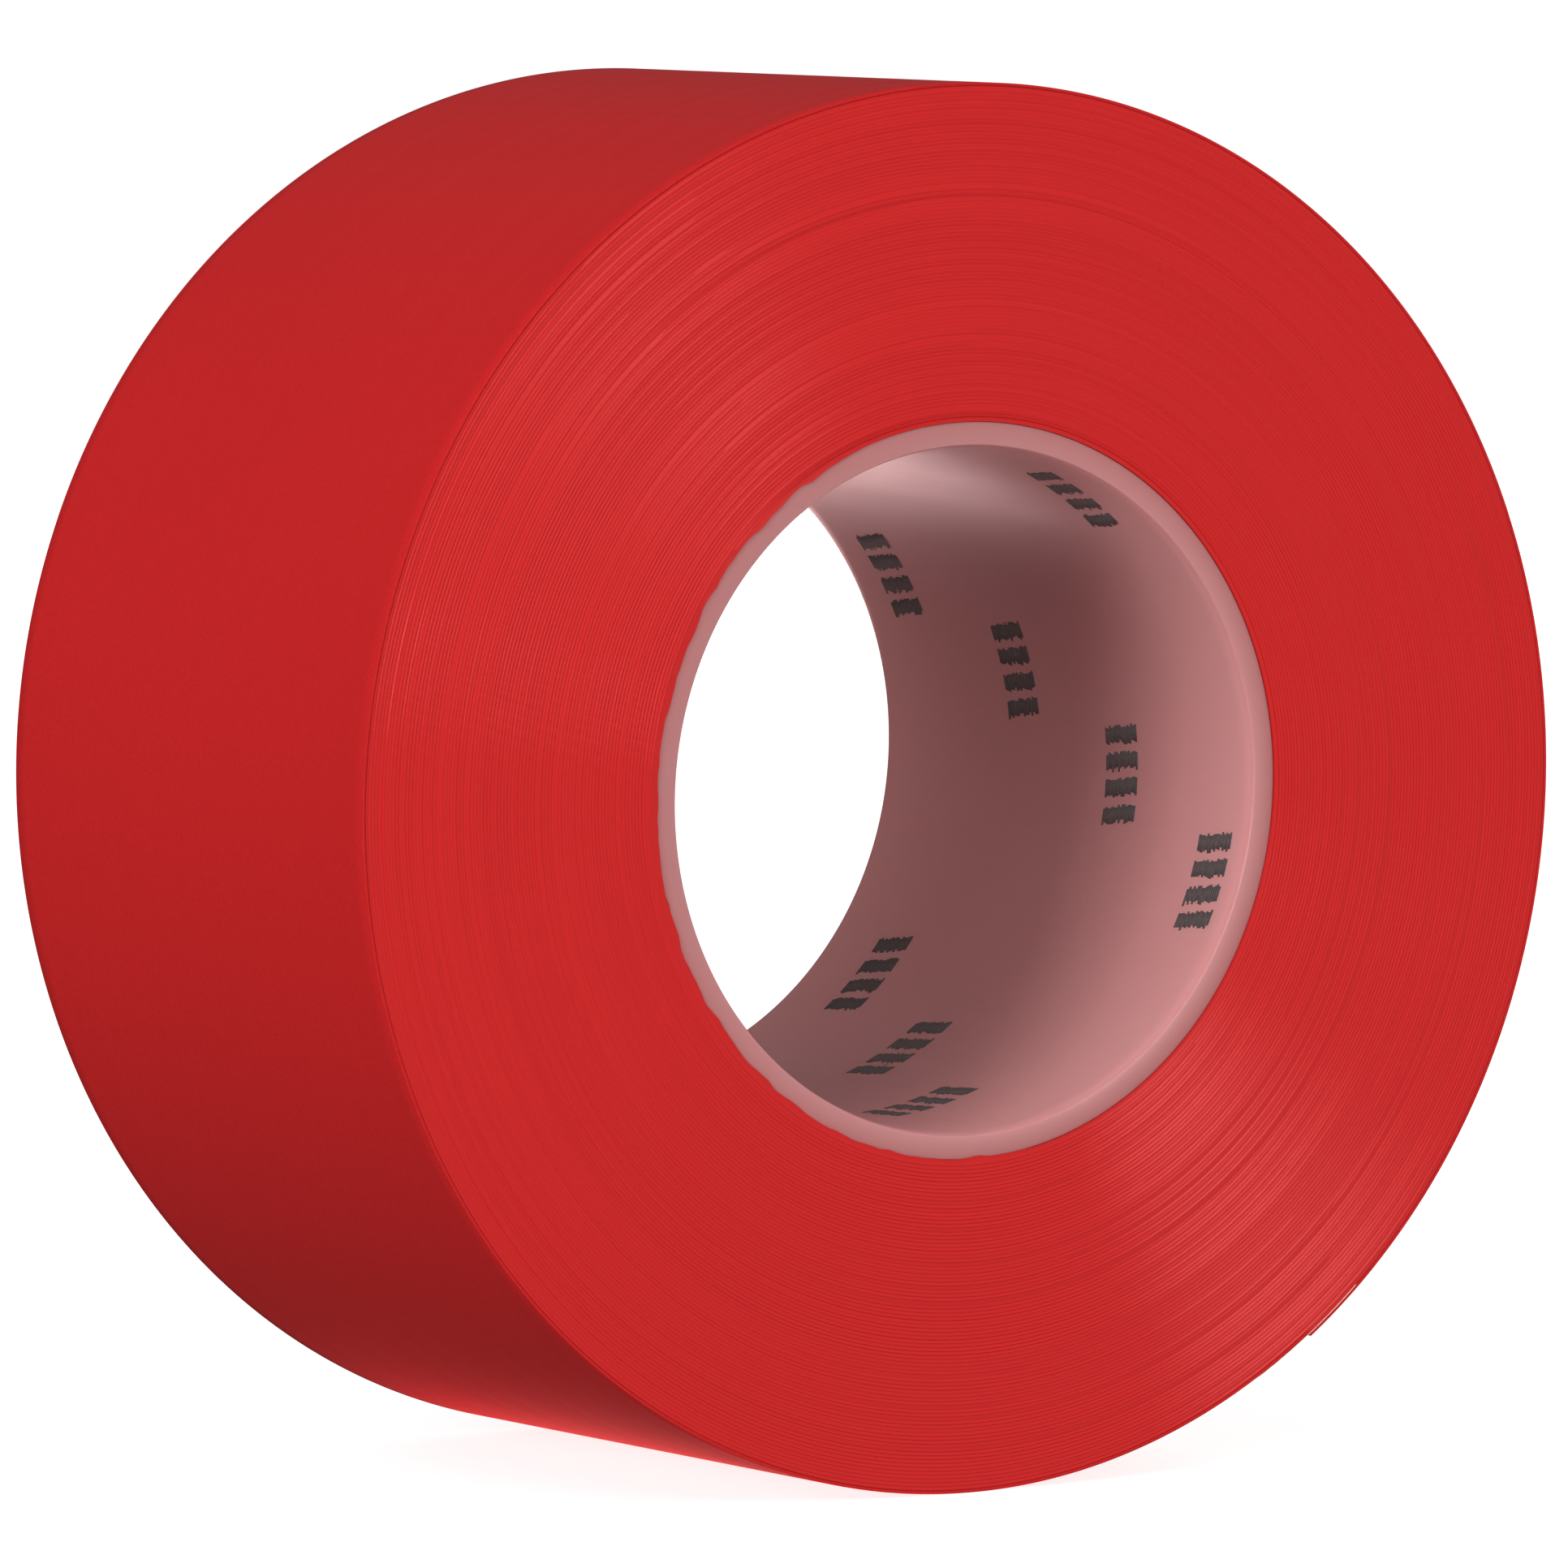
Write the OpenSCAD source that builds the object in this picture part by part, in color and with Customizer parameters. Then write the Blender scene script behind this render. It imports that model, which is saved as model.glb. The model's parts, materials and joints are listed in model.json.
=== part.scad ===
// Wide roll of vinyl adhesive tape on a three-inch plastic core, standing on its rim.
// The roll's axis lies along Y, and the origin is at the middle of the core's bore.
// The tape is wound as a true spiral. Its last stretch is a tail that peels off the roll.

/* [Core] */
// Diameter of the bore that a spindle or dispenser hub fits
core_bore_d = 76.2; // [60:0.1:80]
// Wall thickness of the core tube
core_wall = 2.9; // [2:0.1:5]
// Width of the core, a little under the tape's so that it never stands proud
core_w = 75.4; // [49:0.1:99]
// How deep the rounded mouth at each end of the bore runs
mouth_depth = 2.4; // [1:0.1:5]
// How far the rounded mouth opens the bore at the face
mouth_rise = 0.4; // [0.3:0.1:1.5]

/* [Tape] */
// Width of the tape
tape_w = 76.2; // [50:0.1:100]
// Length of tape wound on the core, in metres
tape_length_m = 32.9; // [15:0.1:40]
// Thickness of the vinyl film
film_t = 0.35; // [0.15:0.01:0.5]
// Thickness of the adhesive layer under the film
adhesive_t = 0.08; // [0.07:0.01:0.15]

/* [Tail] */
// Angle of the tape's free end, anticlockwise from +X as seen from the front
free_end_angle = -54; // [-75:3:0]
// Number of hinged parts that stand in for the flexible tail
tail_parts = 5; // [3:1:6]
// Arc of the roll that one part covers, in steps of the spiral
tail_part_arc = 15; // [9:3:18]

/* [Start tab] */
// Thickness of the paper tab under the free end
tab_t = 0.06; // [0.04:0.01:0.06]
// Arc over which the tab is stuck under the tape
tab_under_arc = 6; // [3:3:6]
// Arc by which the tab stands out past the free end
tab_out_arc = 6; // [3:3:12]

/* [Hidden] */

tape_t = film_t + adhesive_t;
core_r = core_bore_d / 2 + core_wall;
// The side area of the wound tape is its length times its thickness.
roll_r = sqrt(pow(core_r, 2) + tape_length_m * 1000 * tape_t / PI);
tail_arc = tail_parts * tail_part_arc;
// Angle between two points of the spiral
spiral_step = 3;
// Room left under the tail so that it parts cleanly from the turn below
peel_gap = adhesive_t - tab_t;
round_steps = 180;
// Straight lines that make up one rounded mouth of the bore
mouth_steps = 6;

film_red = [0.76, 0.14, 0.15];
side_red = [0.78, 0.16, 0.16];
adhesive_red = [0.55, 0.12, 0.13];
core_pink = [0.80, 0.58, 0.58];
paper_cream = [0.93, 0.90, 0.80];

// Radius of the tape's outer surface, where turned is the arc back from the free end.
function spiral_r(turned) = roll_r - tape_t * turned / 360;

// A point on the spiral, moved inwards by depth.
function spiral_point(turned, depth) =
    (spiral_r(turned) - depth)
    * [cos(free_end_angle + turned), sin(free_end_angle + turned)];

// Outline of a strip of tape from one arc to another and between two depths.
function strip_outline(from_arc, to_arc, top, bottom) = concat(
    [for (a = [from_arc:spiral_step:to_arc]) spiral_point(a, top)],
    [for (a = [to_arc:-spiral_step:from_arc]) spiral_point(a, bottom)]);

// Turns a flat outline into a solid of a width, with the roll's axis along Y.
module across(width) {
    rotate([90, 0, 0])
        linear_extrude(height = width, center = true)
            children();
}

module strip(from_arc, to_arc, top, bottom) {
    across(tape_w)
        polygon(strip_outline(from_arc, to_arc, top, bottom));
}

// Half of the core's bore edge, from the face inwards, as a quarter of an ellipse.
// side is 1 for the face at the positive end of the tube and -1 for the other.
function mouth_points(side) = [
    for (k = [0:mouth_steps])
        let (turn = 90 * k / mouth_steps)
            [core_bore_d / 2 + mouth_rise * (1 - sin(turn)),
             side * (core_w / 2 - mouth_depth * (1 - cos(turn)))]];

function reversed(points) = [for (k = [len(points) - 1:-1:0]) points[k]];

// Extruded plastic tube whose bore opens in a rounded mouth at each end.
module core() {
    outside = [[core_r, -core_w / 2], [core_r, core_w / 2]];
    color(core_pink)
        rotate([90, 0, 0])
            rotate_extrude($fn = round_steps)
                polygon(concat(outside, mouth_points(1), reversed(mouth_points(-1))));
}

// Every turn of the tape but the last, with the step where the last turn begins.
module wound_tape() {
    color(side_red)
        across(tape_w)
            difference() {
                polygon([for (a = [0:spiral_step:360]) spiral_point(a, tape_t)]);
                circle(r = core_r, $fn = round_steps);
            }
}

// Film of the last turn, up to the line where the tail peels off.
module last_turn_film() {
    color(film_red)
        strip(tail_arc, 360, 0, film_t);
}

// Adhesive of the last turn, which bonds it to the turn below.
module last_turn_adhesive() {
    color(adhesive_red)
        strip(tail_arc, 360, film_t, tape_t);
}

// Film of tail part i, where part 1 is next to the peel line.
module tail_film(i) {
    far_arc = tail_arc - i * tail_part_arc;
    color(film_red)
        strip(far_arc, far_arc + tail_part_arc, 0, film_t);
}

// Adhesive of tail part i. On the last part it stops where the start tab begins.
module tail_adhesive(i) {
    far_arc = tail_arc - i * tail_part_arc;
    stop_arc = i == tail_parts ? tab_under_arc : far_arc;
    color(adhesive_red)
        strip(stop_arc, far_arc + tail_part_arc, film_t, tape_t - peel_gap);
}

// Paper tab stuck under the free end, and standing out past it as a grip.
module start_tab() {
    color(paper_cream)
        strip(-tab_out_arc, tab_under_arc, film_t, film_t + tab_t);
}

core();
wound_tape();
last_turn_film();
last_turn_adhesive();
for (i = [1:tail_parts]) {
    tail_film(i);
    tail_adhesive(i);
}
start_tab();
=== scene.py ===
import json
import math

import bmesh
import bpy
import numpy as np
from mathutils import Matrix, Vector


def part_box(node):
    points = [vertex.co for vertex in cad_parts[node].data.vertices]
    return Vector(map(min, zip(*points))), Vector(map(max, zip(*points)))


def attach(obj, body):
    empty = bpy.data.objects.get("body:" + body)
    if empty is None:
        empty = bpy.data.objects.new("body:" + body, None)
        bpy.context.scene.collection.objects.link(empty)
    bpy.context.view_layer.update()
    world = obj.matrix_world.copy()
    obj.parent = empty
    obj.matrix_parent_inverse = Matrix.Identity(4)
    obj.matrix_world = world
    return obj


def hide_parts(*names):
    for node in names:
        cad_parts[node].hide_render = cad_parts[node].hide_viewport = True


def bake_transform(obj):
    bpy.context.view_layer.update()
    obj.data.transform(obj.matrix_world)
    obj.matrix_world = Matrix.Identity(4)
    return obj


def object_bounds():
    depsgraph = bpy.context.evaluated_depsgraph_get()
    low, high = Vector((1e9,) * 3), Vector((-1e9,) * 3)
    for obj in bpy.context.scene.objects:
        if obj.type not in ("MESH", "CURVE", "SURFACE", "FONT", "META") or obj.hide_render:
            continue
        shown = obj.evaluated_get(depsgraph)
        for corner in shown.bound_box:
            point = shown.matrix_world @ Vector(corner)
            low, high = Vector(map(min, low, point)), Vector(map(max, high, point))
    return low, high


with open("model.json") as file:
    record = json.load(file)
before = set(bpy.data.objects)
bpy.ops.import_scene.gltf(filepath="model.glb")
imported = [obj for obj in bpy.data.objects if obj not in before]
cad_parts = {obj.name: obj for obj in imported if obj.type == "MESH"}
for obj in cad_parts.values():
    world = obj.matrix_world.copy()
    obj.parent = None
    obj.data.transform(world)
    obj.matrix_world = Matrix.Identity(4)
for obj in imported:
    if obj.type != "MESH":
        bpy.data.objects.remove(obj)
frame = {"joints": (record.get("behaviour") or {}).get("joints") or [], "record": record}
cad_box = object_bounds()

# The visual model of a wide roll of red vinyl tape: the wound strip as one true spiral whose turns sit
# a little unevenly, the film and adhesive of the last turn, the tail that peels off, the paper start
# tab and the milky plastic core with plain ink marks in its bore. All lengths are in metres.

MM = 0.001

# ---------------------------------------------------------------- sizes, from the frame and the design

CORE_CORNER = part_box("core")[1]
HALF_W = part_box("wound_tape")[1].y        # half of the tape's width
CORE_HALF_W = CORE_CORNER.y               # half of the core's width
CORE_R = CORE_CORNER.x                    # outer radius of the core
BORE_R = frame["record"]["mounts"][0]["dims"]["r_mm"] * MM
FILM_T = 0.35 * MM
ADHESIVE_T = 0.08 * MM
TAPE_T = FILM_T + ADHESIVE_T
TAB_T = 0.06 * MM                         # thickness of the paper tab, and of the tail's adhesive
FREE_END = -54.0                          # angle of the free end, anticlockwise from +X, in degrees
TAIL_PARTS = 5
PART_ARC = 15.0
TAIL_ARC = TAIL_PARTS * PART_ARC
TAB_UNDER, TAB_OUT = 6.0, 6.0             # arcs of the tab under and past the free end
MOUTH_DEPTH, MOUTH_RISE = 2.4 * MM, 0.4 * MM    # rounded mouth at each end of the bore

# The peel line lies on the tape's outer surface, one tail's arc back from the free end.
PEEL_LINE = next(Vector(j["pos_m"]) for j in frame["joints"] if j["name"] == "tail_peel")
ROLL_R = PEEL_LINE.length + TAPE_T * TAIL_ARC / 360
# Turns of the strip, counted along its inner edge from the core to the free end
TURNS = (ROLL_R - CORE_R) / TAPE_T - 1
PACK_TURNS = TURNS - 1


# ---------------------------------------------------------------- small helpers

def smooth_noise(seed, knots_per_unit, start, end):
    """A smooth random function of one number, with values of about -1 to 1 at evenly spaced knots."""
    rng = np.random.default_rng(seed)
    first = math.floor(start * knots_per_unit) - 2
    count = math.ceil(end * knots_per_unit) + 3 - first
    values = rng.uniform(-1, 1, count)

    def noise(at):
        x = np.asarray(at, float) * knots_per_unit - first
        i = np.clip(np.floor(x).astype(int), 0, count - 2)
        f = x - i
        f = f * f * (3 - 2 * f)
        return values[i] * (1 - f) + values[i + 1] * f

    return noise


def window(angle, sector):
    """1 in a sector (low, high, fade) in degrees, falling to 0 over fade degrees outside it."""
    low, high, fade = sector
    middle, half = (low + high) / 2, (high - low) / 2
    off = np.abs((np.asarray(angle) - middle + 180) % 360 - 180)
    return np.clip((half + fade - off) / fade, 0, 1)


def polar(radius, degrees):
    """X and Z of points on circles round the roll's axis."""
    a = np.radians(degrees)
    return radius * np.cos(a), radius * np.sin(a)


def make_mesh(name, points, quads, material, smooth=True, sharp_deg=40.0, painted_shade_and_tint=None):
    """A mesh object from arrays of points and quads, with smooth faces and sharp edges by angle."""
    mesh = bpy.data.meshes.new(name)
    points = np.asarray(points, np.float32).reshape(-1, 3)
    quads = np.asarray(quads, np.int32).reshape(-1, 4)
    mesh.vertices.add(len(points))
    mesh.vertices.foreach_set("co", points.ravel())
    mesh.loops.add(quads.size)
    mesh.loops.foreach_set("vertex_index", quads.ravel())
    mesh.polygons.add(len(quads))
    mesh.polygons.foreach_set("loop_start", np.arange(len(quads), dtype=np.int32) * 4)
    mesh.update(calc_edges=True)
    mesh.validate()
    if smooth:
        mesh.polygons.foreach_set("use_smooth", np.ones(len(quads), bool))
        mesh.set_sharp_from_angle(angle=math.radians(sharp_deg))
    # per-point painted shade of the grooves and tint of the turns, read by the tape edges' material
    if painted_shade_and_tint is not None:
        layer = mesh.attributes.new("painted_shade_and_tint", "FLOAT", "POINT")
        layer.data.foreach_set("value", np.asarray(painted_shade_and_tint, np.float32).ravel())
    mesh.materials.append(material)
    obj = bpy.data.objects.new(name, mesh)
    bpy.context.scene.collection.objects.link(obj)
    return obj


def grid_quads(rows, columns):
    """Quads of a grid of points, row by row, whose last column joins the first."""
    r = np.arange(rows - 1)[:, None]
    c = np.arange(columns)[None, :]
    n = (c + 1) % columns
    return np.stack([r * columns + c, r * columns + n, (r + 1) * columns + n, (r + 1) * columns + c],
                    -1).reshape(-1, 4)


# ---------------------------------------------------------------- materials

class Nodes:
    """A material under construction: adds nodes, and links or sets their inputs by name."""

    def __init__(self, name):
        self.material = bpy.data.materials.new(name)
        self.material.use_nodes = True
        self.tree = self.material.node_tree
        self.shader = self.tree.nodes["Principled BSDF"]

    def add(self, kind, inputs=None, **settings):
        node = self.tree.nodes.new(kind)
        for key, value in settings.items():
            setattr(node, key, value)
        for key, value in (inputs or {}).items():
            self.put(node, key, value)
        return node

    def put(self, node, key, value):
        socket = node.inputs[key]
        if isinstance(value, bpy.types.NodeSocket):
            self.tree.links.new(value, socket)
        else:
            socket.default_value = value

    def math(self, operation, *values):
        node = self.add("ShaderNodeMath", operation=operation)
        for k, value in enumerate(values):
            self.put(node, k, value)
        return node.outputs[0]

    def mix(self, factor, first, second):
        node = self.add("ShaderNodeMix", data_type="RGBA")
        for key, value in (("Factor", factor), (6, first), (7, second)):
            self.put(node, key, value)
        return node.outputs[2]

    def noise(self, vector, scale, detail=4.0, roughness=0.5):
        inputs = {"Scale": scale, "Detail": detail, "Roughness": roughness}
        node = self.add("ShaderNodeTexNoise", inputs)
        self.put(node, "Vector", vector)
        return node.outputs["Fac"]

    def spread(self, value, low, high):
        """Maps 0..1 onto low..high."""
        inputs = {"Value": value, "To Min": low, "To Max": high}
        return self.add("ShaderNodeMapRange", inputs).outputs[0]

    def ramp(self, value, low, high):
        """Maps low..high onto 0..1."""
        inputs = {"Value": value, "From Min": low, "From Max": high}
        return self.add("ShaderNodeMapRange", inputs).outputs[0]

    def position(self):
        return self.add("ShaderNodeTexCoord").outputs["Object"]

    def roll_coordinates(self):
        """Distance from the roll's axis, place along it and angle round it, in the object's space."""
        apart = self.add("ShaderNodeSeparateXYZ", {"Vector": self.position()}).outputs
        radius = self.math("SQRT", self.math("ADD", self.math("POWER", apart["X"], 2.0),
                                             self.math("POWER", apart["Z"], 2.0)))
        angle = self.math("ARCTAN2", apart["Z"], apart["X"])
        return radius, apart["Y"], angle

    def bump(self, height, strength, distance):
        inputs = {"Strength": strength, "Distance": distance, "Height": height}
        return self.add("ShaderNodeBump", inputs).outputs[0]

    def finish(self, **inputs):
        for key, value in inputs.items():
            self.put(self.shader, key.replace("_", " "), value)
        return self.material


def rgb(red, green, blue):
    return (red, green, blue, 1.0)


def tape_edge_material():
    """Cut edges of the wound film: satin red, with painted shade in the grooves between turns, and fine
    rings.
    """
    n = Nodes("tape_edges")
    radius = n.roll_coordinates()[0]
    painted_shade_and_tint = n.add("ShaderNodeAttribute", attribute_name="painted_shade_and_tint").outputs["Fac"]
    ring = n.add("ShaderNodeTexNoise", {"W": radius, "Scale": 5200.0, "Detail": 3.0},
                 noise_dimensions="1D").outputs["Fac"]
    mottle = n.noise(n.position(), 90.0, 5.0)
    clean = n.mix(n.spread(ring, 0.15, 0.85), rgb(0.530, 0.0142, 0.0147), rgb(0.575, 0.0171, 0.0176))
    worn = n.mix(n.spread(mottle, 0.0, 0.16), clean, rgb(0.46, 0.012, 0.014))
    # painted shade in the grooves between turns, plus each turn's own slight tint, from the point
    # attribute
    colour = n.mix(painted_shade_and_tint, worn, rgb(0.31, 0.008, 0.009))
    rough = n.math("ADD", n.spread(ring, 0.24, 0.32), n.math("MULTIPLY", painted_shade_and_tint, 0.25))
    tangent = n.add("ShaderNodeTangent", direction_type="RADIAL", axis="Y").outputs[0]
    bump = n.bump(n.math("ADD", ring, n.math("MULTIPLY", mottle, 0.3)), 0.15, 0.02 * MM)
    return n.finish(Base_Color=colour, Roughness=rough, Tangent=tangent, Anisotropic=1.0,
                    Anisotropic_Rotation=0.25, Specular_IOR_Level=0.50, Normal=bump,
                    Specular_Tint=rgb(1.0, 0.28, 0.27))


def film_material():
    """Smooth satin face of the vinyl film, with faint lines along the strip and an orange-peel grain."""
    n = Nodes("tape_film")
    across, angle = n.roll_coordinates()[1:]
    along = n.add("ShaderNodeCombineXYZ", {"X": n.math("MULTIPLY", angle, 0.6),
                                           "Y": n.math("MULTIPLY", across, 260.0)}).outputs[0]
    lines = n.noise(along, 1.0, 6.0, 0.6)
    peel = n.noise(n.position(), 1400.0, 3.0)
    grain = n.noise(n.position(), 3000.0, 2.0)
    cloud = n.noise(n.position(), 16.0, 3.0)
    base = n.mix(n.spread(cloud, 0.0, 1.0), rgb(0.515, 0.0165, 0.0175), rgb(0.57, 0.0200, 0.0210))
    colour = n.mix(n.spread(lines, 0.0, 0.20), base, rgb(0.40, 0.013, 0.014))
    colour = n.mix(n.ramp(grain, 0.40, 0.75), colour, rgb(0.46, 0.015, 0.016))
    rough = n.math("ADD", n.spread(lines, 0.30, 0.42), n.math("MULTIPLY", peel, 0.06))
    bump = n.bump(n.math("ADD", peel, n.math("MULTIPLY", lines, 1.6)), 0.18, 0.03 * MM)
    return n.finish(Base_Color=colour, Roughness=rough, Specular_IOR_Level=0.05, Normal=bump,
                    Specular_Tint=rgb(1.0, 0.35, 0.33))


def adhesive_material():
    """Tacky rubber adhesive: deep red, with a fine cobbled surface."""
    n = Nodes("tape_adhesive")
    cobble = n.add("ShaderNodeTexVoronoi", {"Vector": n.position(), "Scale": 900.0},
                   feature="SMOOTH_F1").outputs["Distance"]
    cloud = n.noise(n.position(), 60.0, 4.0)
    colour = n.mix(n.spread(cloud, 0.0, 1.0), rgb(0.30, 0.010, 0.012), rgb(0.38, 0.014, 0.016))
    bump = n.bump(n.math("ADD", cobble, cloud), 0.3, 0.05 * MM)
    return n.finish(Base_Color=colour, Roughness=n.spread(cloud, 0.36, 0.50), Normal=bump,
                    Specular_IOR_Level=0.06, Specular_Tint=rgb(1.0, 0.5, 0.45))


def core_material():
    """Milky plastic, a little see-through and finely scuffed. Its pink is painted light, the red of the
    tape round it showing through the wall; the bore is painted lighter towards both ends and the end
    faces get painted shade.
    """
    n = Nodes("core_plastic")
    radius, across, angle = n.roll_coordinates()
    along = n.add("ShaderNodeCombineXYZ", {"X": n.math("MULTIPLY", angle, 14.0),
                                           "Y": n.math("MULTIPLY", across, 40.0)}).outputs[0]
    drawn = n.noise(along, 1.0, 5.0, 0.6)
    cloud = n.noise(n.position(), 45.0, 4.0)
    speck = n.add("ShaderNodeTexVoronoi", {"Vector": n.position(), "Scale": 75.0}).outputs["Distance"]
    dot = n.math("LESS_THAN", speck, 0.03)
    # painted light: the bore is painted lighter towards both its ends, where light comes in at the
    # mouths
    depth = n.math("DIVIDE", n.math("ABSOLUTE", across), CORE_HALF_W)
    edge = n.math("POWER", depth, 1.7)
    mouth = n.ramp(radius, BORE_R + 0.1 * MM, BORE_R + MOUTH_RISE)
    # share of the end face, from the mouth out to the core's outer edge, for its painted shade
    rim = n.ramp(radius, BORE_R + MOUTH_RISE, CORE_R)
    # painted light: the pink body stands in for the red tape's light showing through the milky wall,
    # with random cloudy tone
    body = n.mix(n.spread(cloud, 0.0, 1.0), rgb(0.430, 0.188, 0.188), rgb(0.47, 0.212, 0.212))
    body = n.mix(n.spread(drawn, 0.0, 0.25), body, rgb(0.40, 0.162, 0.162))
    # painted light, lighter towards the bore's ends
    body = n.mix(n.math("MULTIPLY", edge, 0.8), body, rgb(0.76, 0.355, 0.355))
    # the rounded mouth takes a pink near the body's, without the painted light of the bore's ends;
    # painted shade: the end face is painted darker and redder than the bore
    body = n.mix(mouth, body, rgb(0.49, 0.205, 0.205))
    body = n.mix(rim, body, rgb(0.43, 0.145, 0.145))
    colour = n.mix(n.math("MULTIPLY", dot, 0.7), body, rgb(0.10, 0.06, 0.06))
    rough = n.spread(drawn, 0.26, 0.38)
    bump = n.bump(n.math("ADD", drawn, n.math("MULTIPLY", cloud, 0.5)), 0.12, 0.05 * MM)
    return n.finish(Base_Color=colour, Roughness=rough, Normal=bump, Subsurface_Weight=0.35,
                    Subsurface_Radius=(1.0, 0.45, 0.4), Subsurface_Scale=2.5 * MM,
                    Specular_IOR_Level=0.4)


def paper_material():
    """Thin cream paper with short fibres and a soft tooth."""
    n = Nodes("tab_paper")
    stretched = n.add("ShaderNodeMapping", {"Vector": n.position(), "Scale": (900.0, 260.0, 900.0)})
    fibre = n.noise(stretched.outputs[0], 1.0, 6.0, 0.65)
    cloud = n.noise(n.position(), 120.0, 4.0)
    base = n.mix(n.spread(cloud, 0.0, 1.0), rgb(0.80, 0.74, 0.56), rgb(0.88, 0.83, 0.68))
    colour = n.mix(n.spread(fibre, 0.0, 0.35), base, rgb(0.66, 0.58, 0.42))
    bump = n.bump(fibre, 0.35, 0.03 * MM)
    return n.finish(Base_Color=colour, Roughness=n.spread(fibre, 0.62, 0.82), Normal=bump)


def ink_material():
    """Sprayed dark grey ink, thin enough in places for the plastic to show through."""
    n = Nodes("printed_ink")
    grain = n.noise(n.position(), 2600.0, 2.0, 0.7)
    thin = n.math("GREATER_THAN", grain, 0.60)
    colour = n.mix(n.math("MULTIPLY", thin, 0.65), rgb(0.085, 0.075, 0.073), rgb(0.20, 0.12, 0.12))
    return n.finish(Base_Color=colour, Roughness=n.spread(grain, 0.5, 0.75),
                    Normal=n.bump(grain, 0.2, 0.01 * MM))


def backdrop_material():
    """Matt white, lit from within so that it stays plain."""
    n = Nodes("backdrop_white")
    tone = n.noise(n.position(), 3.0, 2.0)
    colour = n.mix(tone, rgb(0.54, 0.54, 0.54), rgb(0.56, 0.56, 0.56))
    return n.finish(Base_Color=colour, Roughness=0.7, Specular_IOR_Level=0.1,
                    Emission_Color=rgb(1, 1, 1), Emission_Strength=0.80)


EDGES = tape_edge_material()
FILM = film_material()
ADHESIVE = adhesive_material()
CORE = core_material()
PAPER = paper_material()
INK = ink_material()


# ---------------------------------------------------------------- the wound strip

# Noise along the length of the strip, one unit to a turn
slow_wander = smooth_noise(11, 2.3, -2, TURNS + 2)
quick_wander = smooth_noise(12, 9.0, -2, TURNS + 2)
groove_noise = smooth_noise(13, 1.7, -2, TURNS + 2)
tint_noise = smooth_noise(14, 1.3, -2, TURNS + 2)
lean_noise = smooth_noise(15, 1.1, -2, TURNS + 2)

# The strip's edges. Each leans inwards, as the slitting knife leaves it.
EDGE_MARGIN = 0.14 * MM                   # keeps every turn's edge inside the tape's stated width
EDGE_SPARE = 0.04 * MM                    # part of the margin that the wandering never uses
STRIP_HALF_W = HALF_W - EDGE_MARGIN
ACROSS_TURN = (0.0, 0.17, 0.86, 1.0)      # places across a turn's thickness that its edge runs through
LEAN, LEAN_VARIES = 0.078 * MM, 0.18

# How far the strip wanders sideways. The outer turns on the left are wound more loosely.
SLOW, QUICK = 0.011 * MM, 0.005 * MM
LOOSE_EXTRA = 2.0                         # how much more the loose turns wander
LOOSE_FROM, LOOSE_FADE = 0.78, 0.1        # share of the turns after which they are loose
LOOSE_SECTOR = (120, 215, 50)

# The groove between a turn and the one inside it
GROOVE, GROOVE_VARIES = 0.036 * MM, 0.018 * MM
# A groove's painted shade grows with its depth, up to its darkest at the depth below, and stays between
# the least and most shade
DARKEST_GROOVE = 0.28 * MM                # depth at which a groove is at its darkest
LEAST_SHADE, MOST_SHADE = 0.1, 0.9
TINT = 0.06                               # how much the turns' own shades differ

# A turn that sits back, whose deeper groove gets painted shade and shows as a dark ring: its number, the
# turns it spreads over, its extra depth
RING_TURN, RING_SPREAD, RING_DEEPER = 58.0, 0.55, 0.06 * MM
RING_SECTOR = (-25, 110, 30)
# The same for the turns next to the core
FIRST_TURN, FIRST_SPREAD, FIRST_DEEPER = 1.4, 1.1, 0.10 * MM
FIRST_SECTOR = (-15, 118, 22)

# Where the first turn is squeezed over the core's rim, and how far
BULGE, BULGE_SECTOR = 0.50 * MM, (122, 268, 14)
FLATTENED = 0.15 * MM                     # a bulge of this size has no groove left


def angle_at(turn):
    """Angle of a place on the strip, in degrees, where turn counts from the start on the core."""
    return FREE_END + 360 * (TURNS - turn)


def inner_radius(turn):
    return CORE_R + TAPE_T * turn


def wander(turn):
    """Sideways shift of the strip: small everywhere, larger in the outer turns on the left."""
    share = turn / TURNS
    left = window(angle_at(turn), LOOSE_SECTOR)
    loose = 1 + LOOSE_EXTRA * left * np.clip((share - LOOSE_FROM) / LOOSE_FADE, 0, 1)
    return np.clip(loose * SLOW * slow_wander(turn) + QUICK * quick_wander(turn),
                   -EDGE_MARGIN + EDGE_SPARE, EDGE_MARGIN - EDGE_SPARE)


def groove_depth(turn):
    """Depth of the groove on the inner side of a turn."""
    angle = angle_at(turn)
    depth = GROOVE + GROOVE_VARIES * np.clip(groove_noise(turn), -0.8, 1)
    ring = np.exp(-((turn - RING_TURN) / RING_SPREAD) ** 2) * window(angle, RING_SECTOR)
    first = np.exp(-((turn - FIRST_TURN) / FIRST_SPREAD) ** 2) * window(angle, FIRST_SECTOR)
    return depth + RING_DEEPER * ring + FIRST_DEEPER * first


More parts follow.
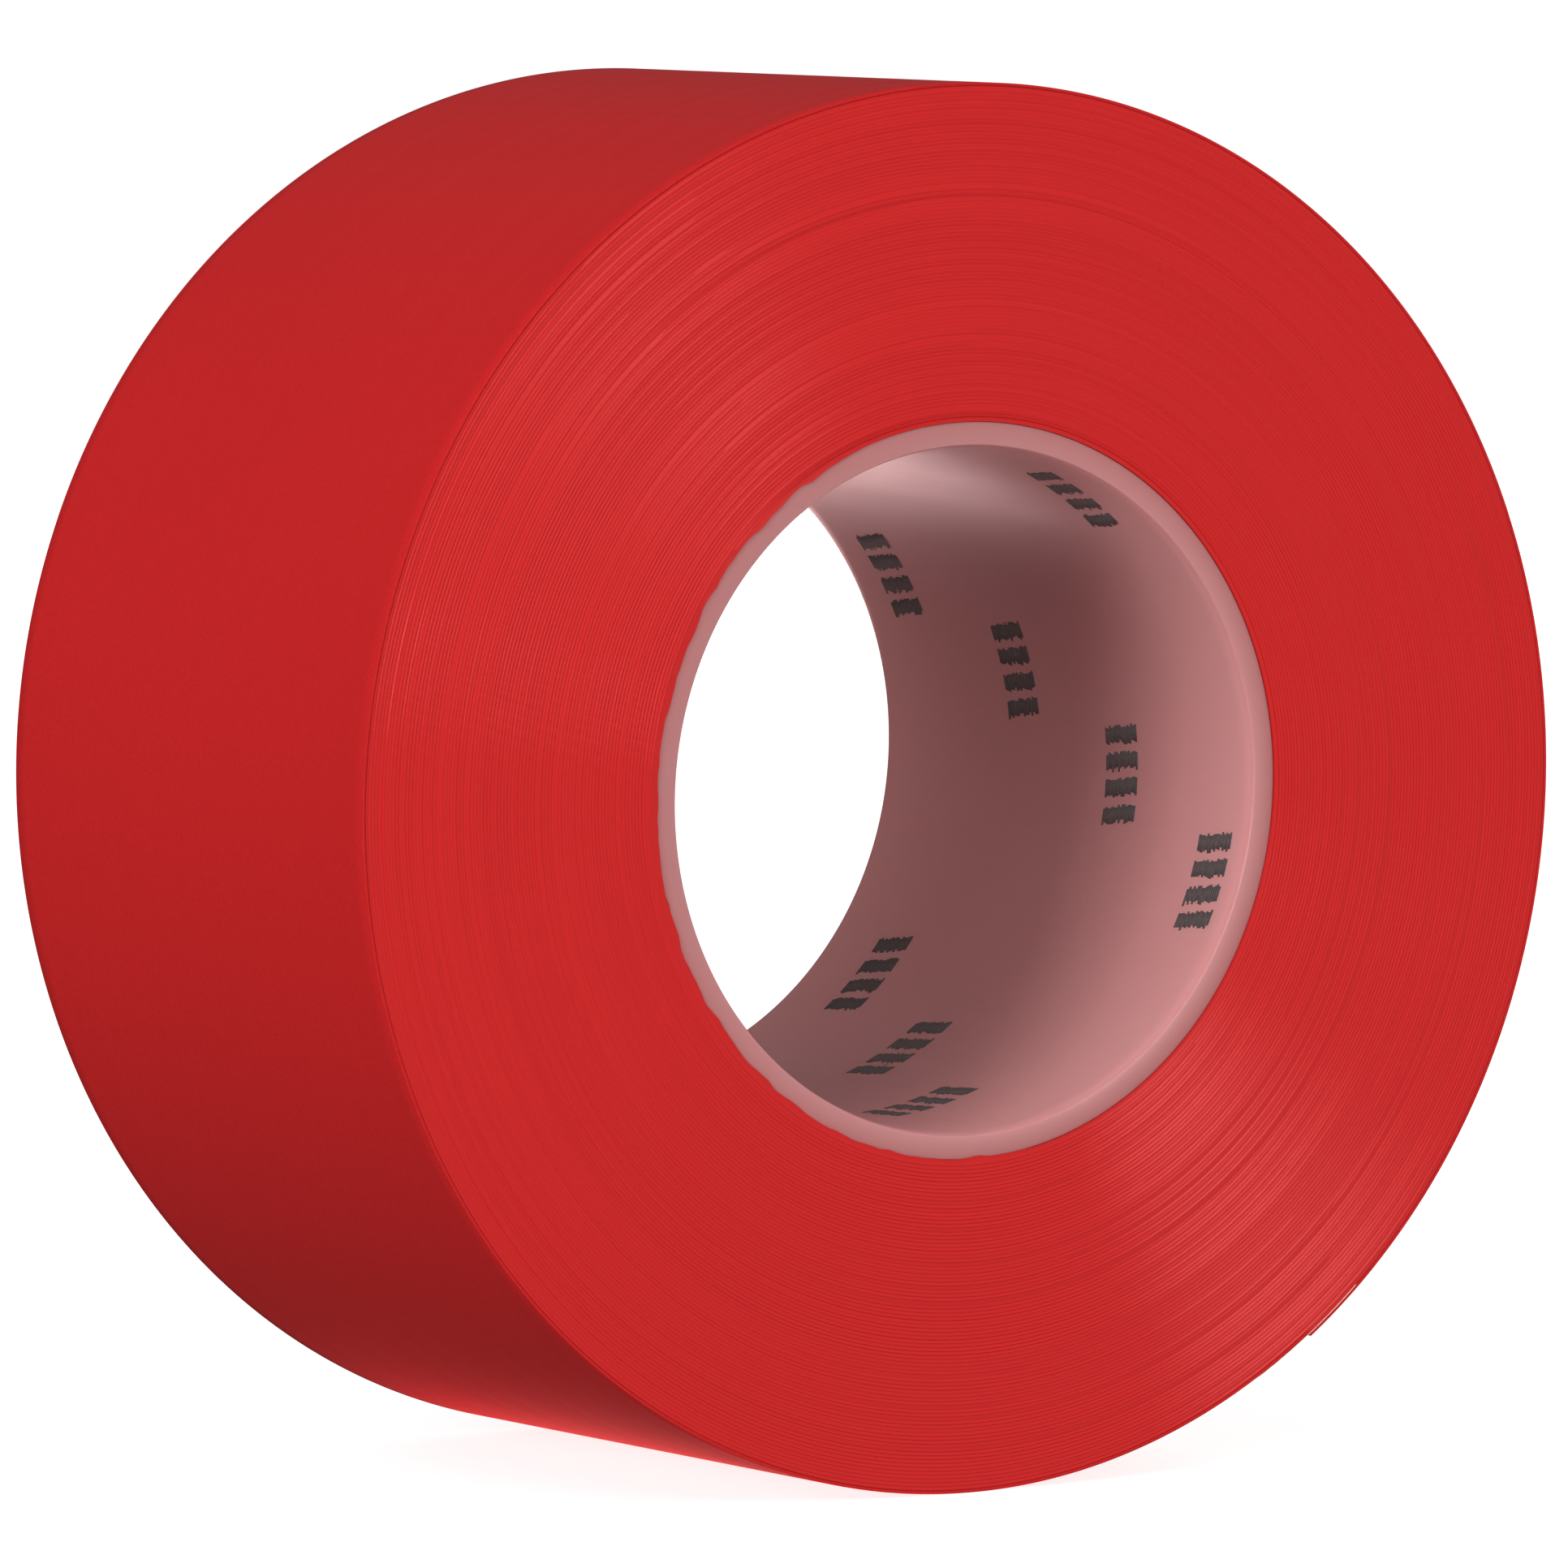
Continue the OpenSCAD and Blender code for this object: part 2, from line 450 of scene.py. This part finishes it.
def edge_rows(turn):
    """Radii, depths below the front and back edges, and the painted groove shade and tint of four points
    across a turn's edge.
    """
    shift, before, after = wander(turn), wander(turn - 1), wander(turn + 1)
    low, high = groove_depth(turn), groove_depth(turn + 1)
    lean = LEAN * (1 + LEAN_VARIES * lean_noise(turn))
    radii = [inner_radius(turn) + f * TAPE_T for f in ACROSS_TURN]
    front = [np.maximum(shift, before) + low, shift + lean, shift, np.maximum(shift, after) + high]
    back = [np.minimum(shift, before) - low, shift - lean, shift, np.minimum(shift, after) - high]
    tint = TINT * np.abs(tint_noise(turn))
    shades = [painted_groove_shade(low), tint, tint, painted_groove_shade(high)]
    return radii, front, back, shades


# painted shade of a groove, darker the deeper the groove
def painted_groove_shade(depth):
    return np.clip(depth / DARKEST_GROOVE, LEAST_SHADE, MOST_SHADE)


def edge_points(radius, turn, side, depth):
    """Points on the front (side -1) or back (side 1) edge of the strip."""
    x, z = polar(radius, angle_at(turn))
    return np.stack([x, side * STRIP_HALF_W + depth, z], 1)


def side_points(side, turn, outer_turn, squeeze, nudge):
    """Points of one side of a piece of strip: three for each place, then those of its outer rim."""
    which = 1 if side < 0 else 2
    rows = edge_rows(turn)
    radii, depths = rows[0], rows[which]
    flat = np.clip((squeeze - inner_radius(turn) + CORE_R) / FLATTENED, 0, 1)
    inner_depth = depths[0] * (1 - flat) + depths[1] * flat
    points = [edge_points(radii[0] - squeeze, turn + nudge, side, inner_depth)]
    points += [edge_points(radii[k], turn, side, depths[k]) for k in (1, 2)]
    outer = edge_rows(outer_turn)
    rim = edge_points(outer[0][3], outer_turn, side, outer[which][3])
    return np.concatenate([np.stack(points, 1).reshape(-1, 3), rim])


def strip_faces(count, steps):
    """Faces of a piece of strip whose points run along the front side and then the back side."""
    outer_count = min(steps, count - 1)
    back = count * 3 + outer_count

    def at(place, k):
        """Index of a point on the front side, where k is 0 to 3 across the turn's edge."""
        place = np.asarray(place)
        if k < 3:
            return place * 3 + k
        shared = place + steps <= count - 1
        own = count * 3 + place - (count - outer_count)
        return np.where(shared, (place + steps) * 3, own)

    faces = []
    place = np.arange(count - 1)
    for k in range(3):
        side = np.stack([at(place, k), at(place + 1, k), at(place + 1, k + 1), at(place, k + 1)], 1)
        faces += [side, side[:, ::-1] + back]
    place = np.arange(outer_count)
    start, end = at(place, 0), at(place + 1, 0)
    faces.append(np.stack([start, start + back, end + back, end], 1))
    place = np.arange(count - 1 - outer_count, count - 1)
    start, end = at(place, 3), at(place + 1, 3)
    faces.append(np.stack([start, end, end + back, start + back], 1))
    for cut, flip in ((0, False), (count - 1, True)):
        for k in range(3):
            a, b = int(at(cut, k)), int(at(cut, k + 1))
            quad = [a, b, b + back, a + back]
            faces.append(np.array([quad[::-1] if flip else quad]))
    return np.concatenate(faces)


def wound_turns(name, first, last, steps, pressed=None):
    """A closed solid of the strip between two turns. steps is the number of points in a turn.

    pressed gives how far the inner edge of the first turn has been squeezed inwards. The last point
    that is squeezed is moved up to the strip's start, so that no gap shows there.
    """
    count = round((last - first) * steps) + 1
    turn = first + np.arange(count) / steps
    outer_turn = turn[count - min(steps, count - 1):]
    squeeze, nudge = np.zeros(count), np.zeros(count)
    if pressed is not None:
        squeeze[:steps] = pressed(turn[:steps])
        nudge[steps - 1] = 0.9 / steps
    points = [side_points(side, turn, outer_turn, squeeze, nudge) for side in (-1, 1)]
    # painted groove shade and tint of each point, for the edges' material
    inner_shades = np.stack(edge_rows(turn)[3][:3], 1).ravel()
    shades = np.concatenate([inner_shades, edge_rows(outer_turn)[3][3]] * 2)
    return make_mesh(name, np.concatenate(points), strip_faces(count, steps), EDGES, painted_shade_and_tint=shades)


# Noise round the core, one unit to a degree, that gives the first turn its uneven edge
bulge_coarse = smooth_noise(21, 1 / 4.0, -400, 400)
bulge_fine = smooth_noise(22, 1 / 1.7, -400, 400)


def first_turn_squeeze(turn):
    """How far the first turn is squeezed onto the core, and over its rim at the left and below."""
    angle = angle_at(turn) % 360
    where = window(angle, BULGE_SECTOR)
    wave = 0.45 + 0.40 * bulge_coarse(angle) + 0.15 * bulge_fine(angle)
    return inner_radius(turn) - CORE_R + where * BULGE * np.clip(wave, 0, 1)


STEPS = 360                               # points in each turn of the pack
FIRST_STEPS = 4 * STEPS                   # points in the first turn, which has the finest shape
FIRST_OVERLAP = 0.25                      # how far the first piece runs on past its own start
PIECE_TURNS = 28
PIECE_ENDS = [PACK_TURNS - 2 * PIECE_TURNS, PACK_TURNS - PIECE_TURNS, PACK_TURNS]
# The end of the first turn, a whole number of steps before the end of the first large piece
FIRST_END = PIECE_ENDS[0] - round((PIECE_ENDS[0] - 1) * STEPS) / STEPS


def pack_pieces():
    """Every turn but the last, in four pieces that follow on from one another."""
    pieces = []
    first_piece_end = FIRST_END + FIRST_OVERLAP
    start = first_piece_end
    for k, end in enumerate(PIECE_ENDS):
        pieces.append(wound_turns(f"wound_turns_{k + 1}", start, end, STEPS))
        start = end
    first = wound_turns("first_turn", FIRST_END - 1, first_piece_end, FIRST_STEPS,
                        pressed=first_turn_squeeze)
    return [first] + pieces


for piece in pack_pieces():
    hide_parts("wound_tape")
    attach(piece, "roll")


# ---------------------------------------------------------------- film, adhesive and tab: curved bands

def spiral_radius(turned):
    """Radius of the tape's outer surface at an arc back from the free end, in degrees."""
    return ROLL_R - TAPE_T * np.asarray(turned) / 360


# Noise along the strip, one unit to a degree, and across it, one unit to a metre
face_wave = smooth_noise(31, 1 / 11.0, -400, 800)
face_ripple = smooth_noise(32, 700.0, -0.05, 0.05)
RIPPLE = 0.006 * MM                       # how far the outer face lies under its full radius
BAND_STEP, TAIL_STEP = 0.5, 0.25          # arc between two rows of points
FILM_ACROSS, ADHESIVE_ACROSS = 40, 6      # points across the outer face
INNER_ACROSS = 6                          # points across the inner face
SOFT_EDGE = 0.04 * MM


def band_section(top, bottom, across):
    """A band's cross-section: places along the axis, depths, and 1 for the outer face's points."""
    soft = min(SOFT_EDGE, (bottom - top) * 0.45)
    half = STRIP_HALF_W
    outer_y = np.concatenate([[-half], np.linspace(-half + soft, half - soft, across), [half]])
    outer_d = np.concatenate([[top + soft], np.full(across, top), [top + soft]])
    inner_y = np.concatenate([[half], np.linspace(half - soft, -half + soft, INNER_ACROSS), [-half]])
    inner_d = np.concatenate([[bottom - soft], np.full(INNER_ACROSS, bottom), [bottom - soft]])
    is_face = np.concatenate([np.zeros(1), np.ones(across), np.zeros(1 + 2 + INNER_ACROSS)])
    return np.concatenate([outer_y, inner_y]), np.concatenate([outer_d, inner_d]), is_face


def band(name, from_arc, to_arc, top, bottom, material, step=BAND_STEP, across=FILM_ACROSS):
    """A closed curved strip between two arcs back from the free end and between two depths."""
    count = max(2, round((to_arc - from_arc) / step) + 1)
    turned = np.linspace(from_arc, to_arc, count)
    section_y, section_d, is_face = band_section(top, bottom, across)
    y = section_y[None, :] + wander(TURNS - turned / 360)[:, None]
    ripple = RIPPLE * (1 + face_wave(turned)[:, None] * face_ripple(y))
    depth = section_d[None, :] + is_face[None, :] * ripple * (1 if top == 0 else 0)
    radius = spiral_radius(turned)[:, None] - depth
    x, z = polar(radius, np.broadcast_to((FREE_END + turned)[:, None], radius.shape))
    points = np.stack([x, y, z], -1).reshape(-1, 3)
    columns = len(section_y)
    faces = grid_quads(count, columns)[:, ::-1]
    piece = make_mesh(name, points, faces, material, sharp_deg=50.0)
    add_caps(piece, band_caps(count, columns, across + 2))
    return piece


def band_caps(count, columns, outer_columns):
    """Faces that close the two ends of a band."""
    caps = []
    for start, flip in ((0, True), ((count - 1) * columns, False)):
        top_row = list(range(start, start + outer_columns))
        low_row = list(range(start + outer_columns, start + columns))[::-1]
        caps += cap_between(top_row, low_row, flip)
    return caps


def cap_between(top_row, low_row, flip):
    """Triangles between two rows of points whose counts differ."""
    faces, t, b = [], 0, 0
    while t < len(top_row) - 1 or b < len(low_row) - 1:
        share_t = (t + 1) / (len(top_row) - 1) if t < len(top_row) - 1 else 2
        share_b = (b + 1) / (len(low_row) - 1) if b < len(low_row) - 1 else 2
        if share_t <= share_b:
            faces.append([top_row[t], top_row[t + 1], low_row[b]])
            t += 1
        else:
            faces.append([top_row[t], low_row[b + 1], low_row[b]])
            b += 1
    return [f[::-1] if flip else f for f in faces]


def add_caps(piece, caps):
    """Adds flat end faces to a band, and shades them flat."""
    mesh = bmesh.new()
    mesh.from_mesh(piece.data)
    mesh.verts.ensure_lookup_table()
    for cap in caps:
        face = mesh.faces.new([mesh.verts[i] for i in cap])
        face.smooth = False
        for edge in face.edges:
            inside_cap = len(edge.link_faces) == 2 and not any(f.smooth for f in edge.link_faces)
            edge.smooth = inside_cap and not edge.is_boundary
    bmesh.ops.recalc_face_normals(mesh, faces=mesh.faces)
    mesh.to_mesh(piece.data)
    mesh.free()


def outer_turn():
    """The part of the last turn that stays on the roll."""
    film = band("outer_turn_film", TAIL_ARC, 360, 0, FILM_T, FILM)
    glue = band("outer_turn_adhesive", TAIL_ARC, 360, FILM_T, TAPE_T, ADHESIVE, across=ADHESIVE_ACROSS)
    for piece, slot, node in ((film, "vinyl_film", "last_turn_film"),
                              (glue, "adhesive", "last_turn_adhesive")):
        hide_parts(node)
        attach(piece, "roll")


def tail_film(name, from_arc, to_arc):
    return band(name, from_arc, to_arc, 0, FILM_T, FILM, step=TAIL_STEP)


def tail_adhesive(name, from_arc, to_arc):
    return band(name, from_arc, to_arc, FILM_T, FILM_T + TAB_T, ADHESIVE, step=TAIL_STEP,
                across=ADHESIVE_ACROSS)


def bending_length(i):
    """Length i of the tail, built across hinge i. It ends half-way to the hinges beside it."""
    hinge_arc = TAIL_ARC - (i - 1) * PART_ARC
    far_arc = hinge_arc - PART_ARC / 2
    near_arc = hinge_arc if i == 1 else hinge_arc + PART_ARC / 2
    film = tail_film(f"tail_film_{i}_skin", far_arc, near_arc)
    glue = tail_adhesive(f"tail_adhesive_{i}_skin", far_arc, near_arc)
    for piece, slot, node in ((film, "vinyl_film", f"tail_film_{i}"),
                              (glue, "adhesive", f"tail_adhesive_{i}")):
        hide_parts(node)
        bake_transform(piece)


def tail():
    """The tail from the peel line to the free end, with the paper tab stuck under the end."""
    for i in range(1, TAIL_PARTS + 1):
        bending_length(i)
    film = tail_film("tail_end_film", 0, PART_ARC / 2)
    glue = tail_adhesive("tail_end_adhesive", TAB_UNDER, PART_ARC / 2)
    tab = band("start_tab_paper", -TAB_OUT, TAB_UNDER, FILM_T, FILM_T + TAB_T, PAPER, step=TAIL_STEP)
    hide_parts("start_tab")
    for piece, slot in ((film, "vinyl_film"), (glue, "adhesive"), (tab, "tab_paper")):
        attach(piece, f"tail_{TAIL_PARTS}")


outer_turn()
tail()


# ---------------------------------------------------------------- the core and its ink marks

RIM_CORNER = 0.12 * MM                    # rounding of the core's outer edges
MOUTH_POINTS, CORNER_POINTS, BORE_POINTS = 13, 5, 26
CORE_STEPS = 720                          # points round the core
OUT_OF_ROUND, UNEVEN_SECTOR = 0.02 * MM, (20, 340, 20)
round_noise = smooth_noise(41, 1 / 30.0, -1, 361)


def core_section():
    """Closed outline of the core's wall as radius and place along the axis, anticlockwise."""
    quarter = np.radians(np.linspace(0, 90, MOUTH_POINTS))
    mouth_r = BORE_R + MOUTH_RISE * (1 - np.sin(quarter))
    mouth_y = CORE_HALF_W - MOUTH_DEPTH * (1 - np.cos(quarter))
    turn = np.radians(np.linspace(0, 90, CORNER_POINTS))
    corner_r = CORE_R - RIM_CORNER * (1 - np.cos(turn))
    corner_y = CORE_HALF_W - RIM_CORNER * (1 - np.sin(turn))
    straight = CORE_HALF_W - MOUTH_DEPTH
    bore_y = np.linspace(straight, -straight, BORE_POINTS)[1:-1]
    radius = np.concatenate([corner_r, mouth_r, np.full(len(bore_y), BORE_R), mouth_r[::-1],
                             corner_r[::-1]])
    place = np.concatenate([corner_y, mouth_y, bore_y, -mouth_y[::-1], -corner_y[::-1]])
    return radius, place


def core_tube():
    """The core, whose bore is a very little out of round."""
    radius, place = core_section()
    angle = np.arange(CORE_STEPS) * 360 / CORE_STEPS
    uneven = np.abs(OUT_OF_ROUND * round_noise(angle) * window(angle, UNEVEN_SECTOR))
    in_bore = np.abs(radius - BORE_R) < MOUTH_RISE
    r = radius[None, :] + np.where(in_bore[None, :], uneven[:, None], 0)
    x, z = polar(r, angle[:, None])
    points = np.stack([x, np.broadcast_to(place, r.shape), z], -1)
    rows = grid_quads(CORE_STEPS + 1, len(radius))
    faces = rows % (CORE_STEPS * len(radius))
    piece = make_mesh("core_tube", points, faces, CORE, sharp_deg=60.0)
    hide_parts("core")
    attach(piece, "roll")


MARK_TURN = 75.5                          # degrees between the marks of one ring and the next
MARK_STEP_TURN, MARK_STEP = 16.6, 19.85 * MM    # from a mark to the next one deeper in the bore
MARK_DRIFT = 3.8 * MM                     # how far each ring of marks sits nearer the front
MARK_START = (30.9, 66.2 * MM)            # angle of one mark, and its depth from the front
MARKS_LEFT_OUT = {(4, 1)}                 # ring and step of the marks that the printer skipped
MARK_RINGS, MARK_STEPS = 5, range(-1, 5)  # marks that are looked for in the bore
MARK_LONG, MARK_WIDE = 12.2 * MM, 6.2 * MM
BARS, BAR_SHARE = 4, 0.62                 # bars in a mark, and the part of their spacing that is ink
SLANT = 0.65                              # how far a bar leans, as a part of the gap between bars
DOT, DOT_REACH = 0.4 * MM, 0.46           # one dot of the ink-jet head, and its inked part to each side
RAGGED = 0.35                             # how uneven the bars' ends are, in dots
INK_LIFT = 0.02 * MM                      # ink stands this far off the plastic


def hatch_rows(rng):
    """The dot rows of one plain mark, slanted bars, as (place across, start, end) with ragged ends."""
    runs = []
    rows = round(MARK_WIDE / DOT)
    period, bar = MARK_LONG / BARS, MARK_LONG / BARS * BAR_SHARE
    for row in range(rows):
        across = (row - (rows - 1) / 2) * DOT
        slant = (row / (rows - 1)) * (period - bar) * SLANT
        for k in range(BARS):
            ragged = rng.integers(-1, 2, 2) * DOT * RAGGED
            start = -MARK_LONG / 2 + k * period + slant + ragged[0]
            runs.append((across, start, start + bar + ragged[1]))
    return runs


def mark_places():
    """Angle and place along the axis of each mark that fits in the bore."""
    places = []
    for ring in range(MARK_RINGS):
        for k in MARK_STEPS:
            angle = MARK_START[0] - MARK_TURN * ring - MARK_STEP_TURN * k
            depth = MARK_START[1] - MARK_DRIFT * ring - MARK_STEP * k
            top, bottom = depth - MARK_WIDE / 2, depth + MARK_WIDE / 2
            in_bore = MOUTH_DEPTH < top and bottom < 2 * HALF_W - MOUTH_DEPTH
            if in_bore and (ring, k) not in MARKS_LEFT_OUT:
                places.append((angle, depth - HALF_W))
    return places


def core_marks():
    """Plain ink marks on a helix down the bore, printed in dots, as thin curved patches."""
    rng = np.random.default_rng(51)
    points, faces = [], []
    for middle_angle, middle_y in mark_places():
        for across, first, last in hatch_rows(rng):
            s = len(points)
            angles = middle_angle - np.degrees(np.array([first, last]) / BORE_R)
            y = middle_y + across + np.array([-DOT_REACH, DOT_REACH]) * DOT
            for radius in (BORE_R - INK_LIFT, BORE_R):
                for a, b in ((0, 0), (1, 0), (1, 1), (0, 1)):
                    x, z = polar(radius, angles[a])
                    points.append((x, y[b], z))
            faces += [(s + 3, s + 2, s + 1, s), (s + 4, s + 5, s + 6, s + 7)]
            faces += [(s + (i + 1) % 4, s + 4 + (i + 1) % 4, s + 4 + i, s + i) for i in range(4)]
    piece = make_mesh("core_marks", points, faces, INK, smooth=False)
    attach(piece, "roll")


core_tube()
core_marks()


# ---------------------------------------------------------------- floor, light and camera

ROOM, SWEEP = 14.0, 5.0                   # radius of the room, and of the sweep from floor to wall
ROOM_STEPS, SWEEP_POINTS = 96, 13
ROOM_CENTRE = 1e-3                        # radius of the small hole in the floor and ceiling


def backdrop():
    """A pale floor that sweeps up into walls and a ceiling far away, so that every view is plain."""
    level = cad_box[0].z
    turn = np.radians(np.linspace(0, 90, SWEEP_POINTS))
    floor = [ROOM_CENTRE, 0.6, 2.0, 5.0]
    radius = np.concatenate([floor, ROOM - SWEEP + SWEEP * np.sin(turn),
                             ROOM - SWEEP + SWEEP * np.cos(turn), [ROOM_CENTRE]])
    height = np.concatenate([np.zeros(len(floor)), SWEEP * (1 - np.cos(turn)),
                             SWEEP + SWEEP * np.sin(turn), [2 * SWEEP]])
    angle = np.arange(ROOM_STEPS) * 360 / ROOM_STEPS
    x, y = polar(radius[:, None], angle[None, :])
    z = np.broadcast_to((level + height)[:, None], x.shape)
    faces = grid_quads(len(radius), ROOM_STEPS)
    piece = make_mesh("backdrop", np.stack([x, y, z], -1), faces, backdrop_material())
    piece.visible_shadow = False          # the backdrop only catches the eye and the roll's shadow,
    piece.visible_diffuse = False         # and the light on the roll doesn't depend on it
    piece.visible_glossy = False


def area_light(name, towards, distance, size, power, glossy=True):
    """A soft square light in a direction from the roll, facing it."""
    data = bpy.data.lights.new(name, "AREA")
    data.shape = "SQUARE"
    data.size = size
    data.energy = power
    light = bpy.data.objects.new(name, data)
    direction = Vector(towards).normalized()
    light.location = direction * distance
    light.rotation_euler = direction.to_track_quat("Z", "Y").to_euler()
    light.visible_glossy = glossy
    bpy.context.scene.collection.objects.link(light)
    return light


GLOW_DEPTH = 0.092                        # how far the table's glow lies below the roll's axis
GLOW_WIDE, GLOW_LEFT = 0.024, 0.010
TABLE_PANEL, TABLE_PANEL_AT = 0.30, (0.20, 0.30)
TABLE_PINK = (1.0, 0.62, 0.62)
FACING_UP = (math.pi, 0, 0)


def table_glow(name, power, glossy):
    """A narrow light inside the table, just under the line on which the roll stands."""
    light = area_light(name, (0, 0, -1), GLOW_DEPTH, GLOW_WIDE, power, glossy)
    light.data.shape = "RECTANGLE"
    light.data.size_y = 2 * HALF_W
    light.location.x = -GLOW_LEFT
    light.rotation_euler = FACING_UP


def lit_table(name, power):
    """The lit table behind the roll, which shows as a sheen along the top of the bore."""
    light = area_light(name, (0, 0, -1), -cad_box[0].z, TABLE_PANEL, power)
    light.location.x, light.location.y = TABLE_PANEL_AT
    light.rotation_euler = FACING_UP
    light.data.color = TABLE_PINK
    light.visible_camera = False


def soft_room(front, top):
    """A world whose soft light comes mostly from the front, and a little from above."""
    world = bpy.data.worlds.new("soft_room")
    world.use_nodes = True
    tree = world.node_tree
    place = tree.nodes.new("ShaderNodeTexCoord")
    fade = tree.nodes.new("ShaderNodeVectorMath")
    fade.operation = "DOT_PRODUCT"
    fade.inputs[1].default_value = (0, -front / 2, top / 2)
    total = tree.nodes.new("ShaderNodeMath")
    total.inputs[1].default_value = (front + top) / 2
    back = tree.nodes["Background"]
    back.inputs["Color"].default_value = rgb(1, 1, 1)
    tree.links.new(place.outputs["Generated"], fade.inputs[0])
    tree.links.new(fade.outputs["Value"], total.inputs[0])
    tree.links.new(total.outputs[0], back.inputs["Strength"])
    bpy.context.scene.world = world


# Name, direction from the roll, distance and size, power in watts, and whether it shows as a gleam
SOFTBOXES = [
    ("key_softbox", (-0.62, -0.55, 0.56), 1.6, 1.1, 9.2, True),
    ("left_softbox", (-0.91, -0.32, 0.25), 1.6, 0.42, 8.4, True),
    ("front_softbox", (0.233, -0.92, 0.313), 2.0, 0.5, 9.8, True),
    ("back_softbox", (0.45, 0.85, 0.25), 1.8, 1.2, 5.0, False),
    ("back_left_softbox", (-0.80, 0.55, 0.15), 1.8, 0.6, 3.6, False),
]


def studio():
    soft_room(front=0.64, top=0.08)
    for name, towards, distance, size, power, glossy in SOFTBOXES:
        area_light(name, towards, distance, size, power, glossy)
    table_glow("table_glow", 0.041, glossy=False)
    table_glow("table_gleam", 0.0011, glossy=True)
    lit_table("table_behind", 0.98)
    bpy.context.scene.view_settings.view_transform = "Standard"


CAMERA_AZIMUTH = 32.6                     # degrees to the left of straight in front
CAMERA_ELEVATION = 4.37                   # degrees above level
CAMERA_DISTANCE = 19.503                  # in roll radii
AIM_RIGHT, AIM_DOWN = 0.2630, 0.0103      # how far the front face's centre lies off the view's middle
LENS, SENSOR = 317.85, 36.0               # in millimetres
CLIP_START, CLIP_END = 0.05, 60.0


def camera():
    data = bpy.data.cameras.new("camera")
    data.lens = LENS
    data.sensor_width = SENSOR
    data.clip_start, data.clip_end = CLIP_START, CLIP_END
    cam = bpy.data.objects.new("camera", data)
    az, el = math.radians(CAMERA_AZIMUTH), math.radians(CAMERA_ELEVATION)
    forward = Vector((math.cos(el) * math.sin(az), math.cos(el) * math.cos(az), -math.sin(el)))
    right = Vector((math.cos(az), -math.sin(az), 0))
    down = forward.cross(right)
    face_centre = Vector((0, -HALF_W, 0))
    aim = face_centre - ROLL_R * (AIM_RIGHT * right + AIM_DOWN * down)
    cam.location = aim - forward * CAMERA_DISTANCE * ROLL_R
    cam.rotation_mode = "QUATERNION"
    cam.rotation_quaternion = forward.to_track_quat("-Z", "Y")
    bpy.context.scene.collection.objects.link(cam)
    bpy.context.scene.camera = cam


backdrop()
studio()
camera()
